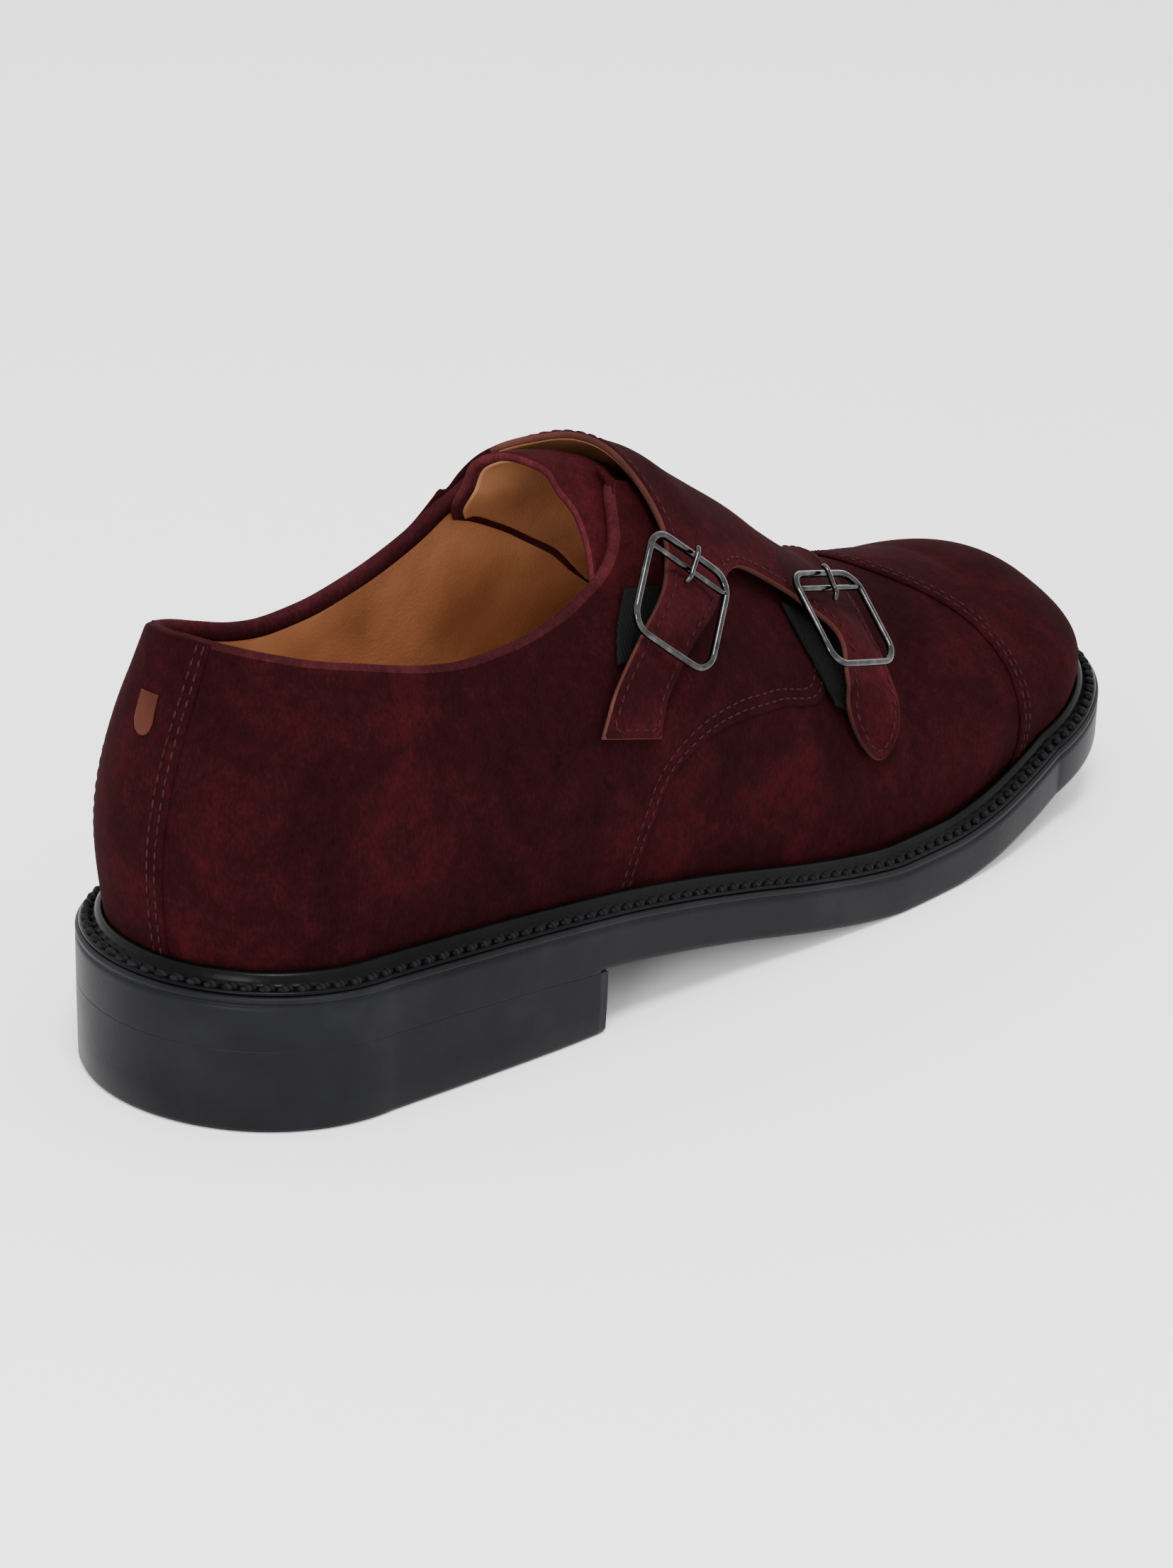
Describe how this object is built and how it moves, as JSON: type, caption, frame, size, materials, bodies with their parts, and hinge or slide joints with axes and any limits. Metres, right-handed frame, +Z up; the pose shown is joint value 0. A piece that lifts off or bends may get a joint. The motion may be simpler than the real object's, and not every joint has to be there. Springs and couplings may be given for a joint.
{
  "type": "monk strap shoe",
  "caption": "Low leather-lined suede shoe closed by buckled straps over the instep, with a stitched toe cap, a raised rope-textured welt, a rubber sole and a block heel.",
  "frame": {"origin": "on the floor under the middle of the shoe's extent", "axes": "+X towards the toe, +Y towards the medial (big toe) side, +Z up"},
  "size_m": [0.2988, 0.0986, 0.1112],
  "materials": {
    "suede": "burgundy suede with a short nap",
    "lining": "smooth tan lining leather",
    "rubber": "matt charcoal moulded rubber",
    "welt": "black waxed welt with a rope texture",
    "elastic": "black woven elastic",
    "nickel": "polished dark nickel"
  },
  "bodies": {
    "root": {"outsole": "rubber", "heel": "rubber", "welt": "welt", "insole": "lining", "upper": "suede", "tongue": "suede", "strap_flap": "suede", "buckle_tab_rear": "elastic", "buckle_tab_front": "elastic", "buckle_rear": "nickel", "buckle_front": "nickel", "prong_rear": "nickel", "prong_front": "nickel"}
  },
  "joints": []
}
